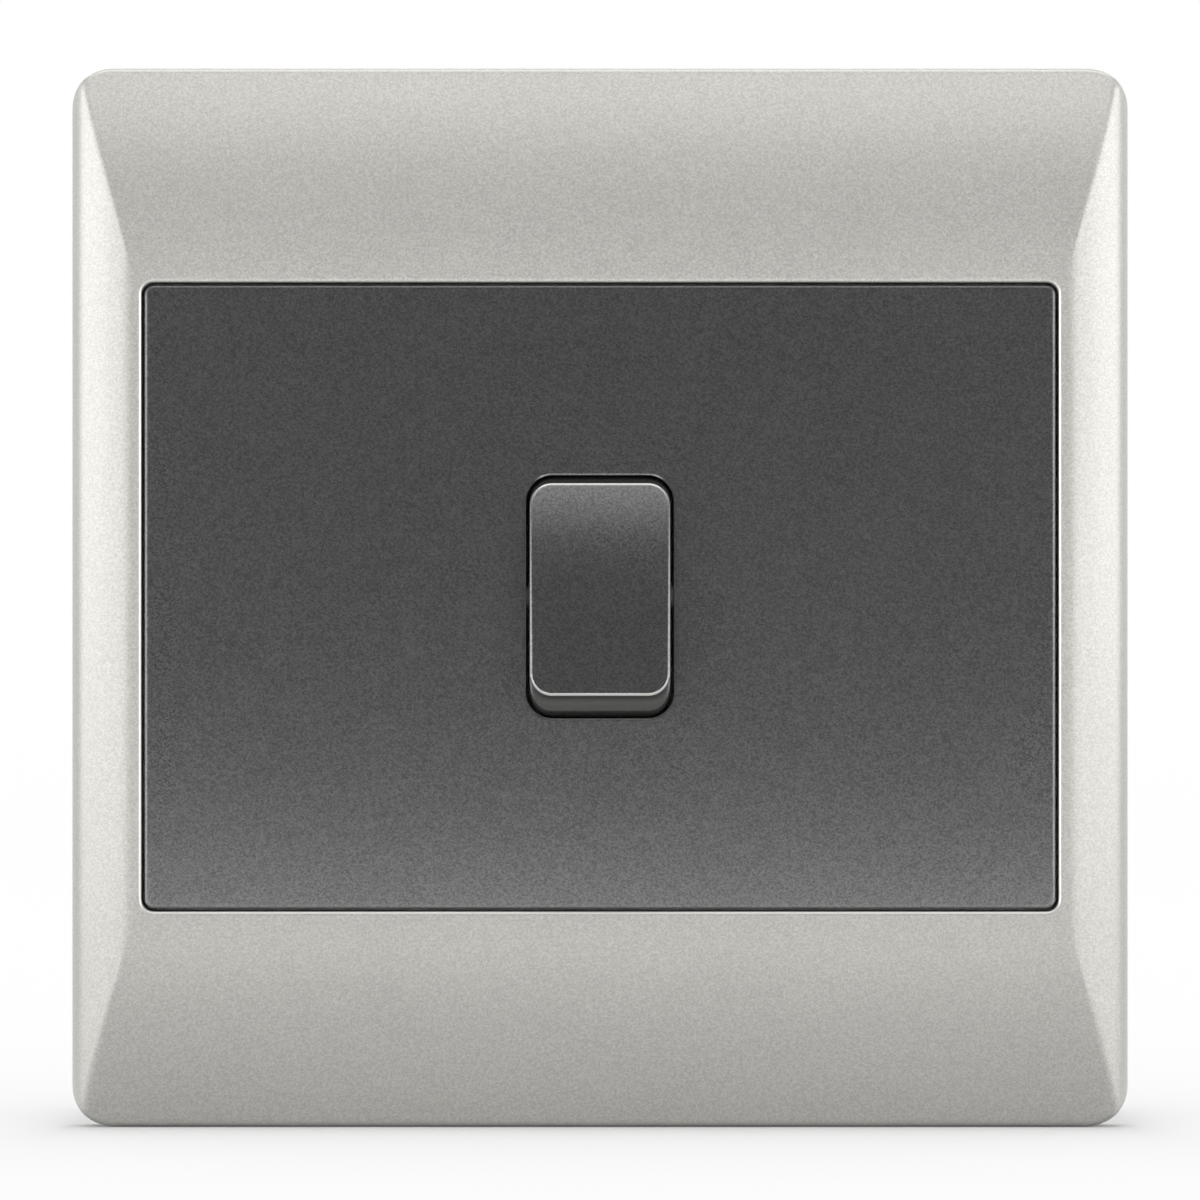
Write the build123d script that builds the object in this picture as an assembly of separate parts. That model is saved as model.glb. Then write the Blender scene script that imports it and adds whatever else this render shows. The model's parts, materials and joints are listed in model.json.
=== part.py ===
from build123d import *
import os
from math import cos, hypot, radians, sin, sqrt

# Light switch with one rocker on a square moulded cover, for a 100 mm square wall box.
# Millimetres, Z up, X to the right. The wall is the plane Y = 0 and the room is on its -Y side.
# A height is measured forward from the wall into the room; a depth is measured behind the wall.

# Cover frame
plate_size = 105.0
plate_corner_radius = 3.7
frame_projection = 9.0
side_border = 7.15
end_border = 21.4
side_round_radius = 6.2
arch_run = 20.0
arch_drop = 2.84
arch_edge_round = 0.8
frame_wall = 2.0
window_corner_radius = 1.2
window_edge_bevel = 0.2
window_lip_wall = 1.6
window_lip_depth = 5.2
frame_rib_thickness = 1.2
frame_rib_pitch = 20.0
frame_rib_count = 5

# Fascia plate
fascia_gap = 0.28
fascia_recess = 0.15
fascia_thickness = 1.6
fascia_rim_wall = 1.4
fascia_edge_bevel = 0.15
opening_height = 24.0
opening_corner_radius = 2.6
opening_land = 1.0
opening_edge_bevel = 0.1

# Snap legs of the frame and the fascia, and the slots they pass through
leg_width = 8.0
leg_thickness = 1.2
leg_clearance = 0.15
leg_web = 3.0
barb_depth = 0.7
barb_length = 1.4
barb_lip = 0.35
leg_point = 0.8
barb_gap = 0.1
fascia_leg_spacing = 56.0
frame_leg_spacing = 62.0

# Mounting yoke, a little clear of the wall so that the cover's rim bears on it
yoke_wall_gap = 0.2
yoke_thickness = 1.2
yoke_end_gap = 2.0
yoke_lip_height = 2.4
yoke_lip_margin = 3.4
yoke_lip_setback = 6.0
yoke_bend_radius = 0.6
yoke_corner_radius = 2.5
yoke_lip_gap = 0.6

# Box screws, held captive by their necks
box_screw_edge = 10.75
box_screw_radius = 1.75
box_screw_neck_radius = 1.35
box_screw_neck_run = 0.6
box_screw_reach = 22.0
box_screw_head_radius = 3.3
box_screw_head_height = 2.2
box_slot_clearance = 0.25
box_slot_travel = 3.0
box_head_relief = 0.6

# Earth tab, screw and clamp
earth_tab_across = 27.0
earth_tab_fold_drop = 20.8
earth_tab_width = 9.0
earth_tab_length = 10.0
earth_tab_relief = 0.3
earth_tab_root = 2.0
earth_screw_depth = 5.4
earth_screw_radius = 1.75
earth_screw_length = 7.5
earth_head_radius = 3.2
earth_head_height = 2.2
earth_clamp_depth = 7.4
earth_clamp_thickness = 1.0
earth_clamp_gap = 0.2
earth_clamp_lip = 0.9
thread_clearance = 0.05

# Rocker
rocker_width = 13.9
rocker_side_gap = 0.35
rocker_end_gap = 0.2
rocker_tilt = 8.0
rocker_pivot_depth = 3.4
rocker_rise = 2.2
rocker_crown_radius = 113.0
rocker_corner_radius = 2.2
rocker_edge_bevel = 0.25
rocker_wall = 1.3
rocker_skirt = 0.3
carrier_fit = 0.05
carrier_rear = 1.8
carrier_wall = 1.4
carrier_web = 4.4
carrier_roof = 3.0
trunnion_radius = 1.1
trunnion_clearance = 0.05
trunnion_engagement = 1.5
trunnion_end_gap = 0.2
trunnion_boss_radius = 1.45
trunnion_boss_gap = 0.15

# Plunger and its spring
tube_radius = 3.0
tube_reach = 6.0
tube_floor = 1.6
plunger_radius = 1.75
plunger_clearance = 0.1
plunger_nose_bevel = 1.0
plunger_grip = 3.4
plunger_gap = 0.12
spring_wire_radius = 0.2
spring_wire_sides = 4
spring_turns = 3
spring_play = 0.12

# See-saw contact
fulcrum_depth = 5.4
contact_tilt = 7.5
contact_arm = 12.0
contact_overhang = 1.7
contact_width = 5.0
contact_thickness = 0.9
contact_corner_radius = 1.2
contact_lug_radius = 0.5
contact_lug_clearance = 0.06
moving_tip_radius = 0.9
fixed_tip_radius = 1.5
tip_height = 0.7
tip_gap = 0.12

# Terminals
ear_thickness = 0.9
ear_gap = 0.35
ear_height = 3.0
ear_lead = 0.8
lug_overhang = 0.4
tongue_thickness = 0.9
block_left = 4.2
block_right = 5.8
block_height = 7.0
block_length = 9.0
wire_offset = 1.0
wire_radius = 2.1
wire_stop = 1.7
wire_funnel_clearance = 0.5
terminal_screw_radius = 1.6
terminal_screw_inset = 5.2
terminal_screw_stop = 0.25
terminal_head_radius = 2.75
terminal_head_height = 1.7
terminal_head_lift = 0.5
terminal_head_clearance = 0.35

# Switch module
module_front_gap = 0.1
module_clearance = 0.15
chamber_gap = 0.4
trunnion_wall = 3.2
module_corner_radius = 1.2
flange_overlap = 1.8
flange_thickness = 1.6
split_depth = 2.4
contact_chamber_margin = 3.4
pocket_clearance = 0.1
base_wall = 1.6
base_side_wall = 2.7
base_rear_wall = 2.0
latch_width = 8.0
latch_length = 6.0
latch_bar = 1.2
latch_shoulder = 2.2
latch_gap = 0.1
catch_width = 4.0
catch_height = 1.2
catch_nose = 0.4
module_barb_width = 8.0
module_barb_depth = 0.8
module_barb_length = 1.9

# Screw head slots
slot_width = 0.9
slot_depth = 1.0

# Places worked out from the sizes above
window_width = plate_size - 2 * side_border
window_height = plate_size - 2 * end_border
fascia_width = window_width - 2 * fascia_gap
fascia_height = window_height - 2 * fascia_gap
fascia_front = frame_projection - fascia_recess
fascia_back = fascia_front - fascia_thickness
opening_width = rocker_width + 2 * rocker_side_gap
fascia_leg_face = fascia_height / 2
frame_leg_face = fascia_leg_face + leg_web + leg_thickness
box_screw_spacing = plate_size - 2 * box_screw_edge
yoke_width = plate_size - 2 * (frame_wall + yoke_end_gap)
yoke_height = 2 * (frame_leg_face + yoke_lip_margin)
yoke_front = yoke_wall_gap + yoke_thickness
yoke_lip_top = yoke_front + yoke_lip_height
barb_seat = yoke_wall_gap - barb_gap
pivot_height = fascia_front - rocker_pivot_depth
swing_radius = hypot(opening_height / 2, rocker_pivot_depth - opening_land) - rocker_end_gap
rocker_edge_forward = rocker_pivot_depth + rocker_rise
rocker_edge_half = sqrt(swing_radius**2 - rocker_edge_forward**2)
crown_centre = rocker_edge_forward - sqrt(rocker_crown_radius**2 - rocker_edge_half**2)
rocker_apex = crown_centre + rocker_crown_radius
chamber_half_width = opening_width / 2
housing_half_width = chamber_half_width + trunnion_wall
housing_front = fascia_back - module_front_gap
trunnion_reach = chamber_half_width + trunnion_engagement
bore_radius = plunger_radius + plunger_clearance
bore_end = rocker_apex - rocker_wall - carrier_fit - tube_floor
plunger_tip = pivot_height + fulcrum_depth - contact_thickness / 2 - plunger_gap
plunger_end = plunger_grip - tube_reach
closed_angle = radians(contact_tilt)
tip_reach = contact_thickness / 2 + tip_height
closed_tip_depth = fulcrum_depth + tip_reach * cos(closed_angle) + contact_arm * sin(closed_angle)
terminal_pitch = contact_arm * cos(closed_angle) - tip_reach * sin(closed_angle)
tongue_depth = closed_tip_depth + tip_gap + tip_height
floor_depth = tongue_depth + tongue_thickness
block_rear = floor_depth + block_length
base_rear = block_rear + pocket_clearance + base_rear_wall
ear_inner = contact_width / 2 + ear_gap
ear_outer = ear_inner + ear_thickness
module_half_height = terminal_pitch + block_height / 2 + pocket_clearance + base_wall
base_half_width = block_right + pocket_clearance + base_side_wall
contact_chamber_half_width = ear_outer + lug_overhang + contact_chamber_margin / 2
contact_chamber_half_height = module_half_height - base_wall
screw_axis_depth = floor_depth + terminal_screw_inset

# Sketch planes: seen from the front, from the right side (Z across) and from above
front_plane = Plane.XZ
side_plane = Plane((0, 0, 0), x_dir=(0, 0, 1), z_dir=(1, 0, 0))
top_plane = Plane((0, 0, 0), x_dir=(1, 0, 0), z_dir=(0, 0, -1))


def slab(sketch, low, high):
    """Front-view sketch made solid between two heights."""
    return extrude(front_plane.offset(low) * sketch, high - low, dir=front_plane.z_dir)


def across(sketch, left, right):
    """Side-view sketch (Z, height) made solid between two X places."""
    return extrude(side_plane.offset(left) * sketch, right - left, dir=side_plane.z_dir)


def upright(sketch, low, high):
    """Top-view sketch (X, height) made solid between two Z places."""
    return extrude(top_plane.offset(-high) * sketch, high - low, dir=top_plane.z_dir)


def span(x_low, x_high, y_low, y_high):
    """Rectangle given by its limits on both sketch axes."""
    middle = Pos((x_low + x_high) / 2, (y_low + y_high) / 2)
    return middle * Rectangle(x_high - x_low, y_high - y_low)


def frame_form(inset):
    """Outer form of the cover, or the same form shrunk evenly by an inset."""
    half = plate_size / 2 - inset
    crest = frame_projection - inset
    side_radius = side_round_radius - inset
    arch_radius = (arch_run**2 + arch_drop**2) / (2 * arch_drop)
    arch_half = plate_size / 2 - arch_run
    side_flat = plate_size / 2 - side_round_radius
    side_section = span(-half, half, 0, crest - side_radius)
    side_section += span(-side_flat, side_flat, 0, crest)
    for side in (-1, 1):
        side_section += Pos(side * side_flat, crest - side_radius) * Circle(side_radius)
    arch_section = span(-arch_half, arch_half, 0, crest)
    for end in (-1, 1):
        arch_disc = Pos(end * arch_half, crest - arch_radius + inset) * Circle(arch_radius - inset)
        slope = span(min(end * arch_half, end * half), max(end * arch_half, end * half), 0, crest)
        arch_section += arch_disc & slope
    top_corners = arch_section.vertices().filter_by(lambda v: abs(abs(v.X) - half) < 1e-4 and v.Y > 1e-4)
    arch_section = fillet(top_corners, arch_edge_round)
    corner = max(plate_corner_radius - inset, arch_edge_round)
    footprint = RectangleRounded(2 * half, 2 * half, corner)
    block = slab(footprint, 0, crest)
    return block & upright(side_section, -half, half) & across(arch_section, -half, half)


def snap_leg(centre_x, face_z, root_height):
    """Leg with a barb behind the yoke; its outer face is at face_z and the barb points outward."""
    out = 1 if face_z > 0 else -1
    tip = barb_seat - barb_length
    points = [
        (face_z - out * leg_thickness, root_height),
        (face_z, root_height),
        (face_z, barb_seat),
        (face_z + out * barb_depth, barb_seat),
        (face_z + out * barb_depth, barb_seat - barb_lip),
        (face_z - out * (leg_thickness - leg_point), tip),
        (face_z - out * leg_thickness, tip),
    ]
    section = make_face(Polyline(points, close=True))
    return across(section, centre_x - leg_width / 2, centre_x + leg_width / 2)


def snap_slot(centre_x, face_z):
    """Yoke slot for one snap leg."""
    out = 1 if face_z > 0 else -1
    middle = Pos(centre_x, face_z - out * leg_thickness / 2)
    return middle * Rectangle(leg_width + 2 * leg_clearance, leg_thickness + 2 * leg_clearance)


def corner_places(spacing, face_z):
    """The four leg places: both sides, top and bottom."""
    return [(side * spacing / 2, end * face_z) for side in (-1, 1) for end in (-1, 1)]


def cover_frame():
    outer = frame_form(0)
    shell = outer - frame_form(frame_wall)
    lip_sketch = RectangleRounded(
        window_width + 2 * window_lip_wall,
        window_height + 2 * window_lip_wall,
        window_corner_radius + window_lip_wall,
    )
    inner_work = slab(lip_sketch, frame_projection - window_lip_depth, frame_projection)
    rib_low = window_height / 2 + window_lip_wall / 2
    rib_high = plate_size / 2 - frame_wall / 2
    for index in range(frame_rib_count):
        place = (index - (frame_rib_count - 1) / 2) * frame_rib_pitch
        edges = (place - frame_rib_thickness / 2, place + frame_rib_thickness / 2)
        for low, high in ((rib_low, rib_high), (-rib_high, -rib_low)):
            inner_work += slab(span(*edges, low, high), yoke_lip_top + yoke_lip_gap, frame_projection)
    window = RectangleRounded(window_width, window_height, window_corner_radius)
    frame = shell + (inner_work & frame_form(frame_wall / 2)) - slab(window, 0, frame_projection)
    front_face = frame.faces().sort_by(Axis.Y)[0]
    frame = chamfer(front_face.inner_wires()[0].edges(), window_edge_bevel)
    for place, face in corner_places(frame_leg_spacing, frame_leg_face):
        frame += snap_leg(place, face, frame_projection - frame_wall)
    return frame


def fascia_plate():
    outline = RectangleRounded(fascia_width, fascia_height, window_corner_radius - fascia_gap)
    plate = slab(outline, fascia_back, fascia_front)
    opening = RectangleRounded(opening_width, opening_height, opening_corner_radius)
    plate -= slab(opening, fascia_back, fascia_front)
    front_face = plate.faces().sort_by(Axis.Y)[0]
    plate = chamfer(front_face.outer_wire().edges(), fascia_edge_bevel)
    front_face = plate.faces().sort_by(Axis.Y)[0]
    plate = chamfer(front_face.inner_wires()[0].edges(), opening_edge_bevel)
    back_face = plate.faces().sort_by(Axis.Y)[-1]
    plate = chamfer(back_face.inner_wires()[0].edges(), fascia_thickness - opening_land)
    rim = outline - Rectangle(fascia_width - 2 * fascia_rim_wall, fascia_height - 2 * fascia_rim_wall)
    plate += slab(rim, yoke_front, fascia_back)
    for side in (-1, 1):
        relief = Pos(side * box_screw_spacing / 2, 0) * Circle(box_screw_head_radius + box_head_relief)
        relief_top = yoke_front + box_screw_head_height + box_head_relief
        plate -= slab(relief, yoke_front, relief_top)
    for place, face in corner_places(fascia_leg_spacing, fascia_leg_face):
        plate += snap_leg(place, face, yoke_front + leg_thickness)
    return plate


def yoke_channel():
    """Folded sheet: a flat back with lips turned forward along the top and bottom edges."""
    half = yoke_height / 2
    outer = span(-half, half, yoke_wall_gap, yoke_lip_top)
    outer = fillet(outer.vertices().sort_by(Axis.Y)[:2], yoke_bend_radius + yoke_thickness)
    inner = span(yoke_thickness - half, half - yoke_thickness, yoke_front, yoke_lip_top)
    inner = fillet(inner.vertices().sort_by(Axis.Y)[:2], yoke_bend_radius)
    fold = half - yoke_thickness - yoke_bend_radius
    outline = RectangleRounded(yoke_width, 2 * fold, yoke_corner_radius)
    outline += Rectangle(yoke_width - 2 * yoke_lip_setback, yoke_height)
    return across(outer - inner, -yoke_width / 2, yoke_width / 2) & slab(outline, yoke_wall_gap, yoke_lip_top)


def earth_tab():
    """Tab lanced out of the yoke and folded back, drawn as a folded strip in side view."""
    fold = -earth_tab_fold_drop
    strip = span(fold - yoke_thickness - earth_tab_root, fold, yoke_wall_gap, yoke_front)
    strip += span(fold - yoke_thickness, fold, yoke_front - earth_tab_length, yoke_front)
    outside = strip.vertices().sort_by_distance((fold, yoke_front))[0]
    strip = fillet(outside, yoke_bend_radius + yoke_thickness)
    inside = strip.vertices().sort_by_distance((fold - yoke_thickness, yoke_wall_gap))[0]
    strip = fillet(inside, yoke_bend_radius)
    left = earth_tab_across - earth_tab_width / 2
    tab = across(strip, left, left + earth_tab_width)
    hole = Pos(earth_tab_across, -earth_screw_depth) * Circle(earth_screw_radius + thread_clearance)
    return tab - upright(hole, fold - 2 * yoke_thickness, fold + yoke_thickness)


def mounting_yoke():
    module_cut = RectangleRounded(
        2 * (housing_half_width + module_clearance),
        2 * (module_half_height + module_clearance),
        module_corner_radius + module_clearance,
    )
    cuts = [module_cut]
    for side in (-1, 1):
        slot_size = 2 * (box_screw_neck_radius + box_slot_clearance)
        slot = SlotOverall(slot_size + box_slot_travel, slot_size, rotation=90)
        cuts.append(Pos(side * box_screw_spacing / 2, 0) * slot)
    cuts += [snap_slot(*place) for place in corner_places(fascia_leg_spacing, fascia_leg_face)]
    cuts += [snap_slot(*place) for place in corner_places(frame_leg_spacing, frame_leg_face)]
    fold = -earth_tab_fold_drop
    cuts.append(
        span(
            earth_tab_across - earth_tab_width / 2 - earth_tab_relief,
            earth_tab_across + earth_tab_width / 2 + earth_tab_relief,
            fold - yoke_bend_radius - yoke_thickness,
            fold + earth_tab_length,
        )
    )
    yoke = yoke_channel()
    for cut in cuts:
        yoke -= slab(cut, yoke_wall_gap, yoke_front)
    return yoke + earth_tab()


def screw(shank, head_radius, head_height):
    """Screw along Z from its shank (list of radius and length), head seat at Z = 0, slot in its top."""
    head = Cylinder(head_radius, head_height, align=(Align.CENTER, Align.CENTER, Align.MIN))
    slot_box = Box(2 * head_radius, slot_width, slot_depth, align=(Align.CENTER, Align.CENTER, Align.MAX))
    body = head - Pos(0, 0, head_height) * slot_box
    below = 0
    for radius, length in shank:
        stretch = Cylinder(radius, length, align=(Align.CENTER, Align.CENTER, Align.MAX))
        body += Pos(0, 0, below) * stretch
        below -= length
    return body


def box_screws():
    """Two captive screws, heads on the yoke's front face."""
    neck = yoke_front + box_screw_neck_run
    shank = [(box_screw_neck_radius, neck), (box_screw_radius, box_screw_reach - box_screw_neck_run)]
    one = screw(shank, box_screw_head_radius, box_screw_head_height).rotate(Axis.X, 90)
    places = (-box_screw_spacing / 2, box_screw_spacing / 2)
    return Compound(children=[Pos(place, -yoke_front, 0) * one for place in places])


def earth_clamp():
    """Saddle on the tab's lower face, its sides turned up beside the tab so that it cannot turn."""
    top = -earth_tab_fold_drop - yoke_thickness
    bottom = top - earth_clamp_thickness
    place = Pos(earth_tab_across, -earth_screw_depth)
    inside = earth_tab_width + 2 * earth_clamp_gap
    outline = Rectangle(inside + 2 * earth_clamp_thickness, earth_clamp_depth)
    saddle = upright(place * outline, bottom, top + earth_clamp_lip)
    saddle -= upright(place * Rectangle(inside, earth_clamp_depth), top, top + earth_clamp_lip)
    hole = Circle(earth_screw_radius + thread_clearance)
    return saddle - upright(place * hole, bottom, top)


def earth_screw():
    seat = -earth_tab_fold_drop - yoke_thickness - earth_clamp_thickness
    one = screw([(earth_screw_radius, earth_screw_length)], earth_head_radius, earth_head_height)
    return Pos(earth_tab_across, earth_screw_depth, seat) * one.rotate(Axis.X, 180)


def rocker_form(inset, rear):
    """Rocker about its pivot: crowned face, ends concentric with the pivot, shrunk by an inset."""
    section = Circle(swing_radius - inset) & Pos(0, crown_centre) * Circle(rocker_crown_radius - inset)
    section &= span(-swing_radius, swing_radius, rear, swing_radius)
    half = rocker_width / 2 - inset
    return across(section, -half, half)


def at_rest(piece):
    """Put a rocker piece, drawn about its pivot, in place with the top end pressed in."""
    return Pos(0, -pivot_height, 0) * piece.rotate(Axis.X, -rocker_tilt)


def cross_bar(radius, left, right):
    """Round bar along X through the origin."""
    return across(Circle(radius), left, right)


def rocker_cap():
    """Crowned cap; its ends lean out towards the skirt and stay inside the pivot's swing circle."""
    skirt_half = sqrt(swing_radius**2 - rocker_skirt**2)
    lean = (skirt_half - rocker_edge_half) / (rocker_edge_forward - rocker_skirt)
    reach = rocker_apex - rocker_skirt
    spread = reach * lean
    outline = RectangleRounded(rocker_width, 2 * (skirt_half - spread), rocker_corner_radius)
    apex_outline = front_plane.offset(rocker_apex) * outline
    body = extrude(apex_outline, hypot(reach, spread), dir=(0, reach, spread))
    body += extrude(apex_outline, hypot(reach, spread), dir=(0, reach, -spread))
    crown = Pos(0, crown_centre) * Circle(rocker_crown_radius)
    body &= across(crown, -rocker_width, rocker_width)
    face = body.faces().sort_by(Axis.Y)[0]
    body = chamfer(face.outer_wire().edges(), rocker_edge_bevel)
    body -= rocker_form(rocker_wall, rocker_skirt)
    notch = trunnion_boss_radius + trunnion_boss_gap
    return at_rest(body - cross_bar(notch, -rocker_width, rocker_width))


def rocker_carrier():
    inset = rocker_wall + carrier_fit
    half = rocker_width / 2 - inset
    body = rocker_form(inset, -carrier_rear)
    for end in (-1, 1):
        near = end * carrier_web
        far = end * (rocker_edge_half - inset - carrier_wall)
        pocket = span(min(near, far), max(near, far), -carrier_rear, carrier_roof)
        body -= across(pocket, carrier_wall - half, half - carrier_wall)
    body += slab(Circle(tube_radius), -tube_reach, 0)
    body -= slab(Circle(bore_radius), -tube_reach, bore_end)
    boss_reach = chamber_half_width - trunnion_end_gap
    for side in (-1, 1):
        root = side * (half - carrier_wall)
        body += cross_bar(trunnion_boss_radius, *sorted((root, side * boss_reach)))
        body += cross_bar(trunnion_radius, *sorted((root, side * trunnion_reach)))
    return at_rest(body)


def plunger():
    pin = slab(Circle(plunger_radius), -plunger_tip, plunger_end)
    return at_rest(chamfer(pin.edges().sort_by(Axis.Y)[-1], plunger_nose_bevel))


def plunger_spring():
    low = plunger_end + spring_play + spring_wire_radius
    high = bore_end - spring_play - spring_wire_radius
    radius = bore_radius - spring_play - spring_wire_radius
    coil = Helix((high - low) / spring_turns, high - low, radius)
    wire = Plane(coil @ 0, z_dir=coil % 0) * RegularPolygon(spring_wire_radius, spring_wire_sides)
    spring = sweep(wire, path=coil, is_frenet=True)
    return at_rest(Pos(0, -low, 0) * spring.rotate(Axis.X, 90))


def at_contact(piece):
    """Put a see-saw piece, drawn about its fulcrum, in place with the lower arm closed."""
    return Pos(0, fulcrum_depth, 0) * piece.rotate(Axis.X, contact_tilt)


def contact_tip(radius):
    """Silver contact button along Z, standing on Z = 0."""
    return Cylinder(radius, tip_height, align=(Align.CENTER, Align.CENTER, Align.MIN))


def moving_contact():
    reach = contact_arm + contact_overhang
    half = contact_width / 2
    outline = RectangleRounded(contact_width, 2 * reach, contact_corner_radius)
    strip = slab(outline, -contact_thickness / 2, contact_thickness / 2)
    lug_end = ear_outer + lug_overhang
    strip += cross_bar(contact_lug_radius, -lug_end, -half)
    strip += cross_bar(contact_lug_radius, half, lug_end)
    return at_contact(strip)


def moving_tip(end):
    tip = contact_tip(moving_tip_radius).rotate(Axis.X, -90)
    return at_contact(Pos(0, contact_thickness / 2, end * contact_arm) * tip)


def fixed_tip(end):
    tip = contact_tip(fixed_tip_radius).rotate(Axis.X, 90)
    return Pos(0, tongue_depth, end * terminal_pitch) * tip


def terminal_block(place):
    """Brass block with a blind wire hole from the rear and a tapped hole from the right."""
    outline = span(-block_left, block_right, place - block_height / 2, place + block_height / 2)
    block = slab(outline, -block_rear, -floor_depth)
    wire_hole = Pos(-wire_offset, place) * Circle(wire_radius)
    block -= slab(wire_hole, -block_rear, -floor_depth - wire_stop)
    tapped = Pos(place, -screw_axis_depth) * Circle(terminal_screw_radius + thread_clearance)
    return block - across(tapped, -wire_offset, block_right)


def line_terminal(end):
    place = end * terminal_pitch
    tongue = Pos(0, place) * Rectangle(contact_width, block_height)
    return terminal_block(place) + slab(tongue, -floor_depth, -tongue_depth)


def common_terminal():
    """Centre terminal whose two ears carry the lugs of the see-saw in open notches."""
    saddle = slab(span(-ear_outer, ear_outer, -ear_height / 2, ear_height / 2), -floor_depth, -tongue_depth)
    ear = span(-ear_height / 2, ear_height / 2, -tongue_depth, ear_lead - fulcrum_depth)
    notch_radius = contact_lug_radius + contact_lug_clearance
    ear -= Pos(0, -fulcrum_depth) * Circle(notch_radius)
    ear -= span(-notch_radius, notch_radius, -fulcrum_depth, ear_lead - fulcrum_depth)
    ears = across(ear, ear_inner, ear_outer) + across(ear, -ear_outer, -ear_inner)
    return terminal_block(0) + saddle + ears


def terminal_screws():
    """Three like screws, each backed off a little from its block."""
    seat = block_right + terminal_head_lift
    length = seat + wire_offset - wire_radius - terminal_screw_stop
    shank = [(terminal_screw_radius, length)]
    one = screw(shank, terminal_head_radius, terminal_head_height).rotate(Axis.Y, 90)
    places = (-terminal_pitch, 0, terminal_pitch)
    return Compound(children=[Pos(seat, screw_axis_depth, place) * one for place in places])


def module_housing():
    """Front half of the module: rocker chamber, trunnion holes, flange, barbs and two latches."""
    outline = RectangleRounded(2 * housing_half_width, 2 * module_half_height, module_corner_radius)
    housing = slab(outline, -split_depth, housing_front)
    flange = RectangleRounded(
        2 * (housing_half_width + flange_overlap),
        2 * (module_half_height + flange_overlap),
        module_corner_radius + flange_overlap,
    )
    housing += slab(flange, yoke_front, yoke_front + flange_thickness)
    chamber = Rectangle(2 * chamber_half_width, 2 * (swing_radius + chamber_gap))
    housing -= slab(chamber, -split_depth, housing_front)
    hole_end = trunnion_reach + trunnion_end_gap
    bearing = cross_bar(trunnion_radius + trunnion_clearance, -hole_end, hole_end)
    housing -= Pos(0, -pivot_height, 0) * bearing
    for end in (-1, 1):
        face = end * module_half_height
        barb = make_face(
            Polyline(
                (face, barb_seat),
                (face + end * module_barb_depth, barb_seat),
                (face + end * module_barb_depth, barb_seat - barb_lip),
                (face, barb_seat - module_barb_length),
                close=True,
            )
        )
        housing += across(barb, -module_barb_width / 2, module_barb_width / 2)
    latch = span(-latch_width / 2, latch_width / 2, -split_depth - latch_length, -split_depth)
    window_half = catch_width / 2 + latch_gap
    window_rear = latch_bar - split_depth - latch_length
    window_front = latch_gap - split_depth - latch_shoulder
    latch -= span(-window_half, window_half, window_rear, window_front)
    housing += across(latch, base_half_width + latch_gap, housing_half_width)
    housing += across(latch, -housing_half_width, -base_half_width - latch_gap)
    return housing


def catch(side):
    """Wedge on one side of the base that snaps into the housing's latch."""
    front = -split_depth - latch_shoulder
    rear = latch_bar + latch_gap - split_depth - latch_length
    foot = side * base_half_width
    nose = foot + side * catch_height
    outline = Polyline((foot, front), (nose, rear + catch_nose), (nose, rear), (foot, rear), close=True)
    return upright(make_face(outline), -catch_width / 2, catch_width / 2)


def module_base():
    """Rear half of the module: contact chamber, three terminal pockets, wire funnels, screw wells."""
    outline = RectangleRounded(2 * base_half_width, 2 * module_half_height, module_corner_radius)
    base = slab(outline, -base_rear, -split_depth)
    chamber = Rectangle(2 * contact_chamber_half_width, 2 * contact_chamber_half_height)
    base -= slab(chamber, -floor_depth, -split_depth)
    for step in (-1, 0, 1):
        place = step * terminal_pitch
        half = block_height / 2 + pocket_clearance
        left = -block_left - pocket_clearance
        right = block_right + pocket_clearance
        pocket = span(left, right, place - half, place + half)
        base -= slab(pocket, -block_rear - pocket_clearance, -floor_depth)
        funnel = Pos(-wire_offset, place) * Circle(wire_radius + wire_funnel_clearance)
        base -= slab(funnel, -base_rear, -block_rear)
        well = Pos(place, -screw_axis_depth) * Circle(terminal_head_radius + terminal_head_clearance)
        base -= across(well, block_right, base_half_width)
    for side in (-1, 1):
        base += catch(side)
    return base


pieces = {
    "cover_frame": cover_frame(),
    "fascia_plate": fascia_plate(),
    "mounting_yoke": mounting_yoke(),
    "box_screws": box_screws(),
    "earth_clamp": earth_clamp(),
    "earth_screw": earth_screw(),
    "module_housing": module_housing(),
    "module_base": module_base(),
    "common_terminal": common_terminal(),
    "upper_terminal": line_terminal(1),
    "lower_terminal": line_terminal(-1),
    "terminal_screws": terminal_screws(),
    "upper_fixed_tip": fixed_tip(1),
    "lower_fixed_tip": fixed_tip(-1),
    "rocker_cap": rocker_cap(),
    "rocker_carrier": rocker_carrier(),
    "plunger": plunger(),
    "plunger_spring": plunger_spring(),
    "moving_contact": moving_contact(),
    "upper_moving_tip": moving_tip(1),
    "lower_moving_tip": moving_tip(-1),
}

os.makedirs("parts", exist_ok=True)
for name, piece in pieces.items():
    export_step(piece, f"parts/{name}.step")
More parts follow.
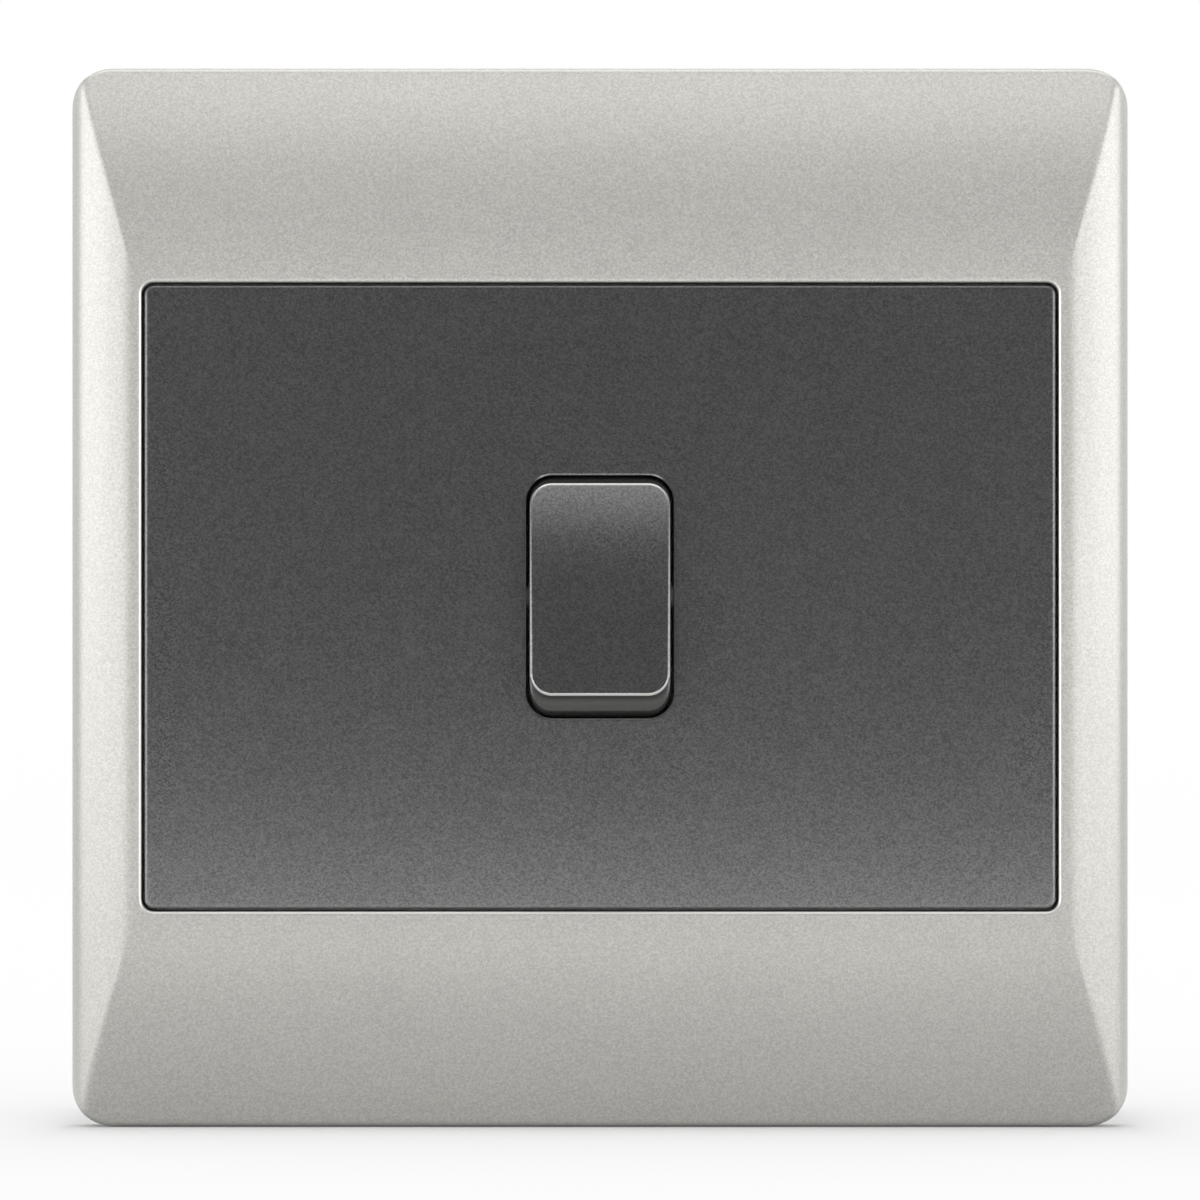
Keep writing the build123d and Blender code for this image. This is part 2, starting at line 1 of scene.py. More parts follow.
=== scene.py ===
import json
import math
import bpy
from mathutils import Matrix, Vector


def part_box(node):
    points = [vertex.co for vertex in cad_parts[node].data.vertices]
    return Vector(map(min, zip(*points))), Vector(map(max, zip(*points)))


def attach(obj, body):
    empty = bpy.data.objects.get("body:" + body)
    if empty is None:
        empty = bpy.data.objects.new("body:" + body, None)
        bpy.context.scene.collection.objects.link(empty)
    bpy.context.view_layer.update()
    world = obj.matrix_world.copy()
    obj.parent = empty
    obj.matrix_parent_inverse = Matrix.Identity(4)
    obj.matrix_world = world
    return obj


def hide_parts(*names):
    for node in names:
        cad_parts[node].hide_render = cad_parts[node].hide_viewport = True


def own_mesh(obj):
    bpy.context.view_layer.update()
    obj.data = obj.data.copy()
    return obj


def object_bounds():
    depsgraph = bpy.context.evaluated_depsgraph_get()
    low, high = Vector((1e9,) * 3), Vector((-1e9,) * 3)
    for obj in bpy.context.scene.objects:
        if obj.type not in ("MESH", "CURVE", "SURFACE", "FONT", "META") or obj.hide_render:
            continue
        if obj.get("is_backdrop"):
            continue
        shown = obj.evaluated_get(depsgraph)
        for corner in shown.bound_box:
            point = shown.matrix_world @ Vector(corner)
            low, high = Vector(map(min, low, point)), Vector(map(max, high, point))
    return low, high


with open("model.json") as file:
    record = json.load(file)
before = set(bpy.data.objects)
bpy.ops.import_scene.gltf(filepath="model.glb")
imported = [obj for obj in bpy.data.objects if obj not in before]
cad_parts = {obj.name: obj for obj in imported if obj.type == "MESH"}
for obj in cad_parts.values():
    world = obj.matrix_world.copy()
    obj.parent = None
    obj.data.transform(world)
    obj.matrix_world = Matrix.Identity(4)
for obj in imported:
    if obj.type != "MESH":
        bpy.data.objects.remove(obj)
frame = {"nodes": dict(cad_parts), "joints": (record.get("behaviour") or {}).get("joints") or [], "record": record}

from types import SimpleNamespace

import bmesh
import bpy
from bpy.props import FloatProperty, FloatVectorProperty, IntProperty, PointerProperty
from mathutils import Vector

bl_info = {
    "name": "Rocker Light Switch",
    "version": (1, 0, 0),
    "blender": (4, 5, 0),
    "location": "3D View > Sidebar > Light Switch",
    "description": "Builds a square wall switch with one rocker, its metalwork and a studio stage",
    "category": "Object",
}

# The object as the frame gives it: metres, Z up, the room on the -Y side of the wall plane Y = 0.
# A height is measured forward from the wall into the room.
cad_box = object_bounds()
cover_low, cover_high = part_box("cover_frame")
_, rocker_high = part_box("rocker_cap")
spring_low, spring_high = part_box("plunger_spring")
box_screw_low, box_screw_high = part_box("box_screws")
terminal_screw_low, terminal_screw_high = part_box("terminal_screws")
earth_screw_low, earth_screw_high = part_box("earth_screw")
joints = {joint["name"]: joint for joint in frame["joints"]}
pivot = Vector(joints["rocker_tilt"]["pos_m"])
half_swing = math.radians(joints["rocker_tilt"]["range_deg"][1]) / 2
plunger_way = Vector(joints["plunger_slide"]["axis"])
half_turn = math.pi
quarter_turn = half_turn / 2
full_turn = half_turn * 2

# Lighter, more metallic edge bands, partly polish and partly painted highlight: how strong each band is, from 0 to
# 1, how fast it fades beside an edge, and how fast it sets in down the rocker's wall.
window_painted_highlight = 0.65
cover_end_polish_and_highlight = 0.3
rocker_wall_painted_highlight = 0.7
polish_and_highlight_metallic = 0.9
polish_and_highlight_slope = 3.2
rocker_wall_slope = 5.0

# Textures: the share of the flakes in the tone of a paint, and how many grains there are to a metre.
flake_share = 0.8
flake_scale = 7500.0
spray_scale = 55.0
paint_grain_scale = 7000.0
dull_patch_scale = 140.0
spark_scale = 2400.0
flow_scale = 70.0

# The stage: sizes and tones of the cards, and the place, the width and the height of each softbox.
floor_reach = 3.0
floor_gap = 0.0001
board_half = 0.35
board_lift = 0.001
felt_half = 1.6
felt_distance = 1.3
felt_bottom = -1.2
felt_top = 0.56
felt_tone = 0.01
felt_glow = 0.06
stage_middle = Vector((0.0, 0.0, 0.0))
key_place, key_size = (0.0, -0.81, 0.59), (1.0, 0.3)
top_place, top_size = (0.0, -0.05, 0.8), (0.8, 0.4)
back_place, back_size = (0.0, 0.7, 0.55), (0.9, 0.5)
side_place, side_size = (0.632, -0.301, 0.0), (1.7, 0.375)
white = (1.0, 1.0, 1.0, 1.0)
paper_white = (0.95, 0.95, 0.95, 1.0)


def length(name, description, default):
    """A size in metres that a user may change."""
    return FloatProperty(
        name=name, description=description, default=default, subtype="DISTANCE", unit="LENGTH"
    )


def paint(name, description, default):
    """A colour in linear light that a user may change."""
    return FloatVectorProperty(
        name=name, description=description, default=default, subtype="COLOR", size=3, min=0, max=1
    )


def share(name, description, default):
    """A number from 0 to 1 that a user may change."""
    return FloatProperty(name=name, description=description, default=default, subtype="FACTOR", min=0, max=1)


def number(name, description, default):
    """Any other number that a user may change."""
    return FloatProperty(name=name, description=description, default=default)


def labelled(group, *fields):
    """The chosen sizes of a group under their labels, as inputs for a recipe."""
    return {field.replace("_", " ").title(): getattr(group, field) for field in fields}


class CoverSizes(bpy.types.PropertyGroup):
    """Sizes of the moulded cover frame."""

    corner_radius: length("Corner Radius", "Rounding of the four corners of the outline", 0.0042)
    side_border: length("Side Border", "Width of the frame left and right of the window", 0.00715)
    end_border: length("End Border", "Height of the frame above and below the window", 0.0214)
    side_round: length("Side Round", "Radius of the rolled left and right sides", 0.0062)
    arch_run: length("Arch Run", "How far the arched top and bottom reach in from the edge", 0.020)
    arch_drop: length("Arch Drop", "How far the arch falls back at the edge", 0.00284)
    edge_round: length("Edge Round", "Rounding along the top and bottom edges", 0.0006)
    crease_blend: share(
        "Crease Blend", "Softness of the line where sides and arches meet, as a share of the fall", 0.4
    )
    wall: length("Wall", "Thickness of the moulded wall", 0.002)
    window_corner: length("Window Corner", "Rounding of the corners of the window", 0.0012)
    window_round: length("Window Round", "Rounding of the front edge of the window", 0.0003)
    lip_wall: length("Lip Wall", "Thickness of the lip behind the window", 0.0016)
    lip_depth: length("Lip Depth", "How far the lip reaches back", 0.0052)
    rib_thickness: length("Rib Thickness", "Thickness of the ribs inside", 0.0012)
    rib_pitch: length("Rib Pitch", "Distance from rib to rib", 0.020)
    rib_rear: length("Rib Rear", "Height at which the ribs end", 0.0044)
    rib_count: IntProperty(
        name="Rib Count", description="Ribs above the window, and again below it", default=5
    )
    leg_spacing: length("Leg Spacing", "Distance between the left and right snap legs", 0.062)


class FasciaSizes(bpy.types.PropertyGroup):
    """Sizes of the dark plate in the window."""

    gap: length("Gap", "Dark gap between the plate and the window", 0.00028)
    recess: length("Recess", "How far the plate lies behind the frame's front", 0.00015)
    thickness: length("Thickness", "Thickness of the plate", 0.0016)
    rim_wall: length("Rim Wall", "Thickness of the rim behind the plate", 0.0014)
    rim_rear: length("Rim Rear", "Height at which the rim ends on the yoke", 0.0014)
    edge_round: length("Edge Round", "Rounding of the outer front edge", 0.0002)
    opening_height: length("Opening Height", "Height of the rocker's opening", 0.024)
    opening_gap: length("Opening Gap", "Gap beside the rocker", 0.00035)
    opening_corner: length("Opening Corner", "Rounding of the corners of the opening", 0.0026)
    opening_round: length("Opening Round", "Rounding of the front edge of the opening", 0.00015)
    opening_land: length("Opening Land", "Straight depth of the opening before it widens", 0.001)
    relief_radius: length("Relief Radius", "Cut in the rim for the heads of the box screws", 0.0039)
    relief_rise: length("Relief Rise", "How far that cut rises from the yoke", 0.0028)
    leg_spacing: length("Leg Spacing", "Distance between the left and right snap legs", 0.056)


class LegSizes(bpy.types.PropertyGroup):
    """Sizes of the snap legs of the frame and the plate."""

    width: length("Width", "Width of a leg", 0.008)
    thickness: length("Thickness", "Thickness of a leg", 0.0012)
    web: length("Web", "Distance between the legs of the plate and those of the frame", 0.003)
    barb_height: length("Barb Height", "Height of the barb's holding face", 0.0001)
    barb_depth: length("Barb Depth", "How far the barb stands out", 0.0007)
    barb_lip: length("Barb Lip", "Straight length of the barb", 0.00035)
    barb_length: length("Barb Length", "Length of the barb down to the tip", 0.0014)
    tip: length("Tip", "Thickness of the leg at its tip", 0.0008)


class RockerSizes(bpy.types.PropertyGroup):
    """Sizes of the rocker cap."""

    rise: length("Rise", "How far the ends of the cap stand in front of the plate, untilted", 0.0022)
    crown_radius: length("Crown Radius", "Radius of the crowned face", 0.113)
    corner_radius: length("Corner Radius", "Rounding of the corners of the face", 0.0022)
    edge_round: length("Edge Round", "Rounding along the edges of the face", 0.0003)
    end_gap: length("End Gap", "Gap between the ends and the opening", 0.0002)
    wall: length("Wall", "Thickness of the cap", 0.0013)
    skirt: length("Skirt", "Where the skirt ends in front of the pivot", 0.0003)
    notch: length("Notch", "Radius of the notches for the pivot bosses", 0.0016)


class ScrewSizes(bpy.types.PropertyGroup):
    """Sizes shared by the screws."""

    slot_width: length("Slot Width", "Width of the driver slot", 0.0009)
    slot_depth: length("Slot Depth", "Depth of the driver slot", 0.001)
    head_round: length("Head Round", "Rounding of the head's edge", 0.0005)
    box_shank: length("Box Screw Shank", "Thread radius of the two box screws", 0.00175)
    box_neck: length("Box Screw Neck", "Plain radius under the head", 0.00135)
    box_neck_length: length("Box Screw Neck Length", "Plain length under the head", 0.002)
    box_head: length("Box Screw Head", "Head radius", 0.0033)
    box_head_height: length("Box Screw Head Height", "Head height", 0.0022)
    box_pitch: length("Box Screw Pitch", "Thread pitch", 0.0006)
    terminal_shank: length("Terminal Screw Shank", "Thread radius of the three terminal screws", 0.0016)
    terminal_head_height: length("Terminal Screw Head Height", "Head height", 0.0017)
    terminal_pitch: length("Terminal Screw Pitch", "Thread pitch", 0.0005)
    earth_shank: length("Earth Screw Shank", "Thread radius of the earth screw", 0.00175)
    earth_head_height: length("Earth Screw Head Height", "Head height", 0.0022)
    earth_pitch: length("Earth Screw Pitch", "Thread pitch", 0.0006)
    thread_depth: length("Thread Depth", "Depth of the threads", 0.0003)


class SpringSizes(bpy.types.PropertyGroup):
    """Sizes of the plunger's spring."""

    wire_radius: length("Wire Radius", "Radius of the wire", 0.0002)
    coil_radius: length("Coil Radius", "Radius at the middle of the wire", 0.00153)
    coil_length: length("Coil Length", "Length at the middle of the wire", 0.00511)
    turns: number("Turns", "Number of turns", 4.0)


class FinishColours(bpy.types.PropertyGroup):
    """Colours of the finishes."""

    silver: paint("Silver Paint", "Satin metallic paint of the cover", (0.52, 0.51, 0.48))
    graphite: paint("Graphite Paint", "Satin metallic paint of the plate and the rocker", (0.15, 0.15, 0.15))
    # A lighter edge colour: partly polish, partly painted highlight on the cover's edges and on the rocker's edges
    # and end walls.
    polish: paint("Polish", "Polished edges of the cover and of the rocker's ends", (0.60, 0.59, 0.57))
    zinc: paint("Zinc Plate", "Plated steel", (0.50, 0.51, 0.52))
    brass: paint("Brass", "Terminals and earth screw", (0.72, 0.53, 0.25))
    copper: paint("Copper", "Moving contact", (0.78, 0.45, 0.30))
    contact_silver: paint("Contact Silver", "Contact tips", (0.85, 0.84, 0.82))
    wire_steel: paint("Wire Steel", "Spring wire", (0.55, 0.55, 0.56))
    dark_moulding: paint("Dark Moulding", "Front half of the module", (0.03, 0.03, 0.03))
    pale_moulding: paint("Pale Moulding", "Rear half of the module", (0.72, 0.72, 0.70))
    nylon: paint("Nylon", "Carrier and plunger", (0.80, 0.79, 0.75))


class StageSettings(bpy.types.PropertyGroup):
    """Camera, floor and light."""

    camera_distance: length("Camera Distance", "From the camera to the wall plane", 0.998)
    camera_drop: length("Camera Drop", "How far the camera looks below the middle", 0.0003)
    focal_length: number("Focal Length", "Lens in millimetres", 300.0)
    key_power: number("Key Power", "High softbox in front, in watts", 1.0)
    side_power: number("Side Power", "Each softbox beside the camera, in watts", 6.5)
    top_power: number("Top Power", "Softbox straight above the object, in watts", 1.5)
    back_power: number("Back Power", "Softbox behind the object, in watts", 2.6)
    fill: share("Fill", "Light of the surroundings on the object", 0.35)
    # Near the cover the floor shows its lit shade and cast shadow, blended to white with distance: partly cast
    # shadow, partly painted shadow round the cover.
    shadow_depth: share("Shadow Depth", "How much of the shadow on the floor is kept at the cover", 0.92)
    shadow_reach: length("Shadow Reach", "Distance from the cover at which the shadow has halved", 0.016)
    floor_bounce: share("Floor Bounce", "How much light the floor throws back at the object", 0.08)
    floor_front: length("Floor Front", "How far the floor reaches in front of the wall plane", 0.45)
    board_start: length(
        "Board Start", "Where the bright board on the floor starts in front of the wall plane", 0.17
    )
    board_glow: number("Board Glow", "Brightness of that board in reflections", 3.8)


class Wire:
    """A socket of a node tree. Arithmetic on it adds Math or Vector Math nodes to that tree."""

    def __init__(self, tree, socket=None):
        self.tree = tree
        self.socket = socket

    def add(self, kind, settings=None, sockets=None, output=0):
        """Add a node: settings first, then a value or a wire for each named or numbered socket."""
        node = self.tree.nodes.new(kind)
        for name, value in (settings or {}).items():
            setattr(node, name, value)
        for key, value in (sockets or {}).items():
            if isinstance(value, Wire):
                self.tree.links.new(value.socket, node.inputs[key])
            else:
                node.inputs[key].default_value = value
        return Wire(self.tree, node.outputs[output])

    def math(self, operation, *others):
        """One Math node, or Vector Math where this socket is a vector."""
        if self.socket.type == "VECTOR":
            others = [other if isinstance(other, (Wire, tuple)) else (other,) * 3 for other in others]
            kind = "ShaderNodeVectorMath"
        else:
            kind = "ShaderNodeMath"
        return self.add(kind, {"operation": operation}, dict(enumerate((self, *others))))

    def __add__(self, other):
        return self.math("ADD", other)

    __radd__ = __add__

    def __sub__(self, other):
        return self.math("SUBTRACT", other)

    def __rsub__(self, other):
        return (self * -1).math("ADD", other)

    def __mul__(self, other):
        return self.math("MULTIPLY", other)

    __rmul__ = __mul__

    def __truediv__(self, other):
        return self.math("DIVIDE", other)

    def __rtruediv__(self, other):
        return self.add("ShaderNodeMath", {"operation": "DIVIDE"}, {0: other, 1: self})

    def __abs__(self):
        return self.math("ABSOLUTE")

    def low(self, other):
        """The smaller of the two."""
        return self.math("MINIMUM", other)

    def high(self, other):
        """The larger of the two."""
        return self.math("MAXIMUM", other)

    def clamp(self, low=0.0, high=1.0):
        return self.high(low).low(high)

    def root(self):
        """Square root, with anything below zero taken as zero."""
        return self.high(0.0).math("SQRT")

    def square(self):
        return self * self

    def sine(self):
        return self.math("SINE")

    def step(self, edge):
        """1 where this is above the edge, otherwise 0."""
        return self.math("GREATER_THAN", edge)

    def parts(self):
        """The three numbers of a vector."""
        return [self.add("ShaderNodeSeparateXYZ", None, {0: self}, output) for output in range(3)]

    def tint(self, factor, first, second):
        """Colour between two colours by a factor."""
        pair = {0: factor, 6: first, 7: second}
        return self.add("ShaderNodeMix", {"data_type": "RGBA"}, pair, 2)

    def vector(self, x, y, z):
        return self.add("ShaderNodeCombineXYZ", None, {0: x, 1: y, 2: z})


class Recipe:
    """A geometry node tree with named size inputs, run once on a new object."""

    socket_kinds = {float: "NodeSocketFloat", int: "NodeSocketInt", Vector: "NodeSocketVector"}

    def __init__(self, name, sizes):
        self.name = name
        self.tree = bpy.data.node_groups.new(name, "GeometryNodeTree")
        self.tree.interface.new_socket("Geometry", in_out="OUTPUT", socket_type="NodeSocketGeometry")
        self.values = {}
        self.blank = Wire(self.tree)
        for label, value in sizes.items():
            kind = self.socket_kinds[type(value)]
            socket = self.tree.interface.new_socket(label, in_out="INPUT", socket_type=kind)
            self.values[socket.identifier] = value
        group_input = self.tree.nodes.new("NodeGroupInput")
        self.size = SimpleNamespace()
        for label in sizes:
            wire = Wire(self.tree, group_input.outputs[label])
            setattr(self.size, label.lower().replace(" ", "_"), wire)

    def node(self, kind, sockets=None, settings=None):
        """Add one of the geometry nodes."""
        return self.blank.add("GeometryNode" + kind, settings, sockets)

    def place(self):
        """The three coordinates of each point."""
        return self.node("InputPosition").parts()

    def sheet(self, columns, rows):
        """A grid to be bent into shape, with how far round (0 to 1) and which row each point is."""
        sockets = {"Size X": 1.0, "Size Y": 1.0, "Vertices X": columns + 1, "Vertices Y": rows + 1}
        grid = self.node("MeshGrid", sockets)
        place_x, place_y, _ = self.place()
        return grid, place_x + 0.5, (place_y + 0.5) * rows

    def bend(self, grid, position):
        """Move the points of a mesh to new places."""
        return self.node("SetPosition", {"Geometry": grid, "Position": position})

    def mark(self, grid, name, value):
        """Keep a number at each point of a mesh, for its finish to read."""
        settings = {"data_type": "FLOAT", "domain": "POINT"}
        sockets = {"Geometry": grid, "Name": name, "Value": value}
        return self.node("StoreNamedAttribute", sockets, settings)

    def close(self, mesh):
        """Join the seams and poles of a bent sheet."""
        return self.node("MergeByDistance", {"Geometry": mesh, "Distance": 1e-7})

    def move(self, geometry, translation=(0, 0, 0), rotation=(0, 0, 0)):
        sockets = {"Geometry": geometry, "Translation": translation, "Rotation": rotation}
        return self.node("Transform", sockets)

    def row_of(self, mesh, count, first, step, rotation=(0, 0, 0)):
        """Copies of a mesh in a straight row."""
        line = {"Count": count, "Start Location": first, "Offset": step}
        points = self.node("MeshLine", line)
        sockets = {"Points": points, "Instance": mesh, "Rotation": rotation}
        placed = self.node("InstanceOnPoints", sockets)
        return self.node("RealizeInstances", {0: placed})

    def join(self, *meshes):
        joined = self.tree.nodes.new("GeometryNodeJoinGeometry")
        for mesh in meshes:
            self.tree.links.new(mesh.socket, joined.inputs[0])
        return Wire(self.tree, joined.outputs[0])

    def run(self, geometry, material, body, *nodes, sharp_angle=30.0):
        """End the tree, evaluate it, and keep the result as a plain mesh that replaces CAD nodes."""
        whole = self.node("RealizeInstances", {0: geometry})
        sockets = {"Geometry": whole, "Material": material}
        painted = self.node("SetMaterial", sockets)
        group_output = self.tree.nodes.new("NodeGroupOutput")
        self.tree.links.new(painted.socket, group_output.inputs[0])
        piece = bpy.data.objects.new(self.name, bpy.data.meshes.new(self.name))
        bpy.context.scene.collection.objects.link(piece)
        modifier = piece.modifiers.new("Recipe", "NODES")
        modifier.node_group = self.tree
        for identifier, value in self.values.items():
            modifier[identifier] = value
        graph = bpy.context.evaluated_depsgraph_get()
        mesh = bpy.data.meshes.new_from_object(piece.evaluated_get(graph))
        piece.modifiers.remove(modifier)
        piece.data = mesh
        if not mesh.polygons:
            raise RuntimeError(f"{self.name}: the recipe made no faces")
        face_outwards(mesh)
        mesh.shade_smooth()
        mesh.set_sharp_from_angle(angle=math.radians(sharp_angle))
        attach(piece, body)
        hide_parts(*nodes)
        return piece


def face_outwards(mesh):
    """Turn each closed shell of a mesh so that its faces point outwards."""
    work = bmesh.new()
    work.from_mesh(mesh)
    bmesh.ops.recalc_face_normals(work, faces=work.faces)
    work.to_mesh(mesh)
    work.free()


def ease(wire):
    """0 to 1, with steps that get finer towards both ends."""
    return 0.5 - 0.5 * (wire * half_turn).math("COSINE")


def stage_of(row, start, count):
    """0 before a stretch of rows, 1 after it."""
    return ((row - start) / count).clamp()


def stages(row, counts):
    """One 0-to-1 ramp for each stretch of rows."""
    ramps, start = [], 0
    for count in counts:
        ramps.append(stage_of(row, start, count))
        start += count
    return ramps


def square_walk(around):
    """Once round a square from -1 to 1 on each axis, with finer steps towards its corners."""
    walk = []
    for shift in (0.0, 0.75):
        turn = (around + shift).math("FRACT")
        side = (8.0 * abs(turn - 0.5) - 2.0).clamp(-1.0, 1.0)
        walk.append((side * quarter_turn).sine())
    return walk


def rounded_outline(walk, half_width, half_height, radius):
    """Point on a rounded rectangle for each place on the square walk, and how far it faces up (1 to -1)."""
    across, along = walk[0] * half_width, walk[1] * half_height
    inner_width, inner_height = half_width - radius, half_height - radius
    core_x = across.clamp(inner_width * -1, inner_width)
    core_z = along.clamp(inner_height * -1, inner_height)
    out_x, out_z = across - core_x, along - core_z
    reach = (out_x.square() + out_z.square()).root()
    out_x, out_z = out_x / reach, out_z / reach
    return core_x + out_x * radius, core_z + out_z * radius, out_z


def outline_distance(x, z, half_width, half_height, radius):
    """Distance from a rounded rectangle, below zero inside it."""
    over_x = abs(x) - (half_width - radius)
    over_z = abs(z) - (half_height - radius)
    outside = (over_x.high(0.0).square() + over_z.high(0.0).square()).root()
    return outside + over_x.high(over_z).low(0.0) - radius


def edge_drop(distance, radius):
    """How far a rounded edge falls away at a distance from it."""
    short = 1.0 - (distance / radius).clamp()
    return radius * (1.0 - (1.0 - short.square()).root())


def edge_band(distance, width):
    """1 on the rounding beside an edge, fading to 0 within its width and at the edge itself."""
    return (polish_and_highlight_slope / 2 - abs(distance / width - 0.5) * polish_and_highlight_slope).clamp()


def mix(first, second, factor):
    """Between two numbers or wires, by a wire that goes from 0 to 1."""
    return (second - first) * factor + first


def snap_legs(recipe, spacing, face, root_height, legs):
    """Four legs with barbs that point away from the middle, two above and two below."""
    cube = {"Size": (1.0, 1.0, 1.0), "Vertices X": 2, "Vertices Y": 5, "Vertices Z": 2}
    block = recipe.node("MeshCube", cube)
    x, y, z = recipe.place()
    stem, shelf, lip, point = stages((y + 0.5) * 4.0, (1, 1, 1, 1))
    height = mix(root_height, legs.barb_height, stem) - lip * legs.barb_lip
    height = height - point * (legs.barb_length - legs.barb_lip)
    top = face + shelf * legs.barb_depth - point * (legs.barb_depth + legs.thickness - legs.tip)
    bottom = face - legs.thickness
    leg = recipe.bend(block, x.vector(x * legs.width, height * -1.0, bottom + (top - bottom) * (z + 0.5)))
    step = x.vector(spacing, 0.0, 0.0)
    upper = recipe.row_of(leg, 2, step * -0.5, step)
    return recipe.join(upper, recipe.move(upper, rotation=(0, half_turn, 0)))


def cover_height(size, x, z, inset=0.0):
    """Front of the cover at a place: rolled sides and arched ends that meet in a soft crease."""
    crest = size.projection - inset
    side_radius = size.side_round - inset
    over_side = (abs(x) - (size.half_size - size.side_round)).high(0.0)
    side = crest - side_radius + (side_radius.square() - over_side.square()).root()
    run, drop = size.arch_run, size.arch_drop
    arch_radius = (run.square() + drop.square()) / (2.0 * drop)
    over_end = (abs(z) - (size.half_size - run)).high(0.0)
    arch = crest - arch_radius + ((arch_radius - inset).square() - over_end.square()).root() + inset
    return side.math("SMOOTH_MIN", arch, (crest - arch) * size.crease_blend)


def make_cover(sizes, legs, material):
    """The cover: one sheet from the window over the front, round the rim and back inside, ribs and legs."""
    half = cover_high.x
    recipe = Recipe("moulded_cover", {
        "Half Size": half,
        "Projection": -cover_low.y,
        "Window Half Width": half - sizes.side_border,
        "Window Half Height": half - sizes.end_border,
        **labelled(
            sizes, "corner_radius", "side_round", "arch_run", "arch_drop", "edge_round", "crease_blend",
            "wall", "window_corner", "window_round", "lip_wall", "lip_depth", "rib_thickness", "rib_pitch",
            "rib_rear", "rib_count", "leg_spacing",
        ),
    })
    size = recipe.size
    counts = (56, 6, 1, 3, 14, 1, 1, 2)
    grid, around, row = recipe.sheet(columns=560, rows=sum(counts))
    front, outside, rim, inside, ceiling, lip, lip_end, window = stages(row, counts)
    walk = square_walk(around)
    lip_out = size.lip_wall * (inside - lip_end)
    rim_in = size.wall * rim
    window_shape = (size.window_half_width, size.window_half_height, size.window_corner)
    edge_shape = (size.half_size, size.half_size, size.corner_radius)
    inner_x, inner_z, facing_up = rounded_outline(walk, *[part + lip_out for part in window_shape])
    outer_x, outer_z, facing_end = rounded_outline(walk, *[part - rim_in for part in edge_shape])
    out = ease(front) - ease(ceiling)
    x, z = mix(inner_x, outer_x, out), mix(inner_z, outer_z, out)
    from_edge = outline_distance(x, z, *edge_shape) * -1.0
    from_window = outline_distance(x, z, *window_shape)
    face = cover_height(size, x, z) - edge_drop(from_edge, size.edge_round) * abs(facing_end)
    face = face - edge_drop(from_window, size.window_round)
    under = cover_height(size, x, z, size.wall)
    lip_rear = size.projection - size.lip_depth
    height = face * (1.0 - outside + window) + under * inside * (1.0 - lip) + lip_rear * (lip - window)
    # Painted highlight on the window's rounding: full on its bottom edge, which faces up, less on its sides, none
    # on its top edge. The outer top and bottom edges get a lighter, more metallic band, partly polish and partly
    # painted highlight.
    window_highlight_band = edge_band(from_window, size.window_round)
    window_highlight_band = window_highlight_band * (window_painted_highlight - facing_up * window_painted_highlight).clamp()
    end_polish_and_highlight = edge_band(from_edge, size.edge_round) * abs(facing_end) * cover_end_polish_and_highlight
    grid = recipe.mark(grid, "polish", window_highlight_band.high(end_polish_and_highlight) * (1.0 - outside))
    shell = recipe.close(recipe.bend(grid, x.vector(x, height * -1.0, z)))

    cube = {"Size": (1.0, 1.0, 1.0), "Vertices X": 2, "Vertices Y": 2, "Vertices Z": 14}
    block = recipe.node("MeshCube", cube)
    x, y, z = recipe.place()
    rib_low = size.window_half_height + size.lip_wall / 2.0
    rib_high = size.half_size - size.wall / 2.0
    rib_height = mix(size.projection, size.rib_rear, y + 0.5)
    rib_reach = mix(rib_low, rib_high, z + 0.5)
    rib = recipe.bend(block, x.vector(x * size.rib_thickness, rib_height * -1.0, rib_reach))
    step = x.vector(size.rib_pitch, 0.0, 0.0)
    first = x.vector((size.rib_count - 1.0) * size.rib_pitch * -0.5, 0.0, 0.0)
    ribs = recipe.row_of(rib, size.rib_count, first, step)
    ribs = recipe.join(ribs, recipe.move(ribs, rotation=(0, half_turn, 0)))
    x, y, z = recipe.place()
    under = cover_height(size, x, z, size.wall / 2.0)
    ribs = recipe.bend(ribs, x.vector(x, y.high(under * -1.0), z))

    fascia_face = half - sizes.end_border - bpy.context.scene.switch_fascia.gap
    leg_face = fascia_face + legs.web + legs.thickness
    clips = snap_legs(recipe, size.leg_spacing, leg_face, size.projection - size.wall, legs)
    return recipe.run(recipe.join(shell, ribs, clips), material, "body", "cover_frame")


